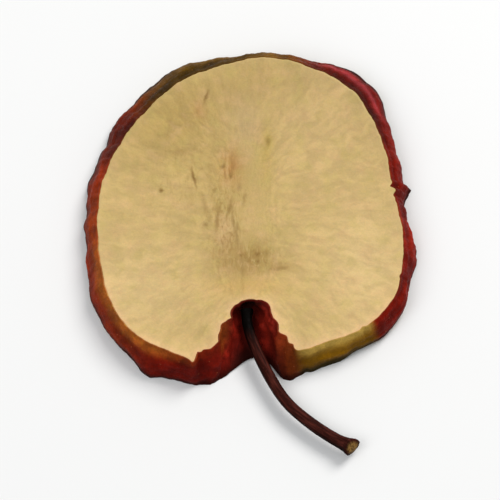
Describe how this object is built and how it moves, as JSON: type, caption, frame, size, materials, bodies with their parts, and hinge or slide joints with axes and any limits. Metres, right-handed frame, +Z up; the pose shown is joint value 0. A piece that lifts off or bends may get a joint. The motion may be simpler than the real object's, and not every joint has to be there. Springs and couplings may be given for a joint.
{
  "type": "dried apple slice",
  "caption": "Dried apple slice cut lengthwise: a thin dished slab of pale flesh in a puckered band of red skin, with its stem in the notch.",
  "frame": {"origin": "middle of the footprint of slice and stem together, on the surface that the slice lies on", "axes": "+Z up out of the shown cut face, +Y from the stem end to the calyx end, +X to the right with the stem towards the viewer"},
  "size_m": [0.0622, 0.0828, 0.0081],
  "materials": {
    "dried_flesh": "matt, dry and slightly fibrous",
    "dried_skin": "waxy satin, finely wrinkled",
    "stem_wood": "dry, finely ridged"
  },
  "bodies": {
    "root": {"slice": "dried_flesh", "stem": "stem_wood"}
  },
  "joints": []
}
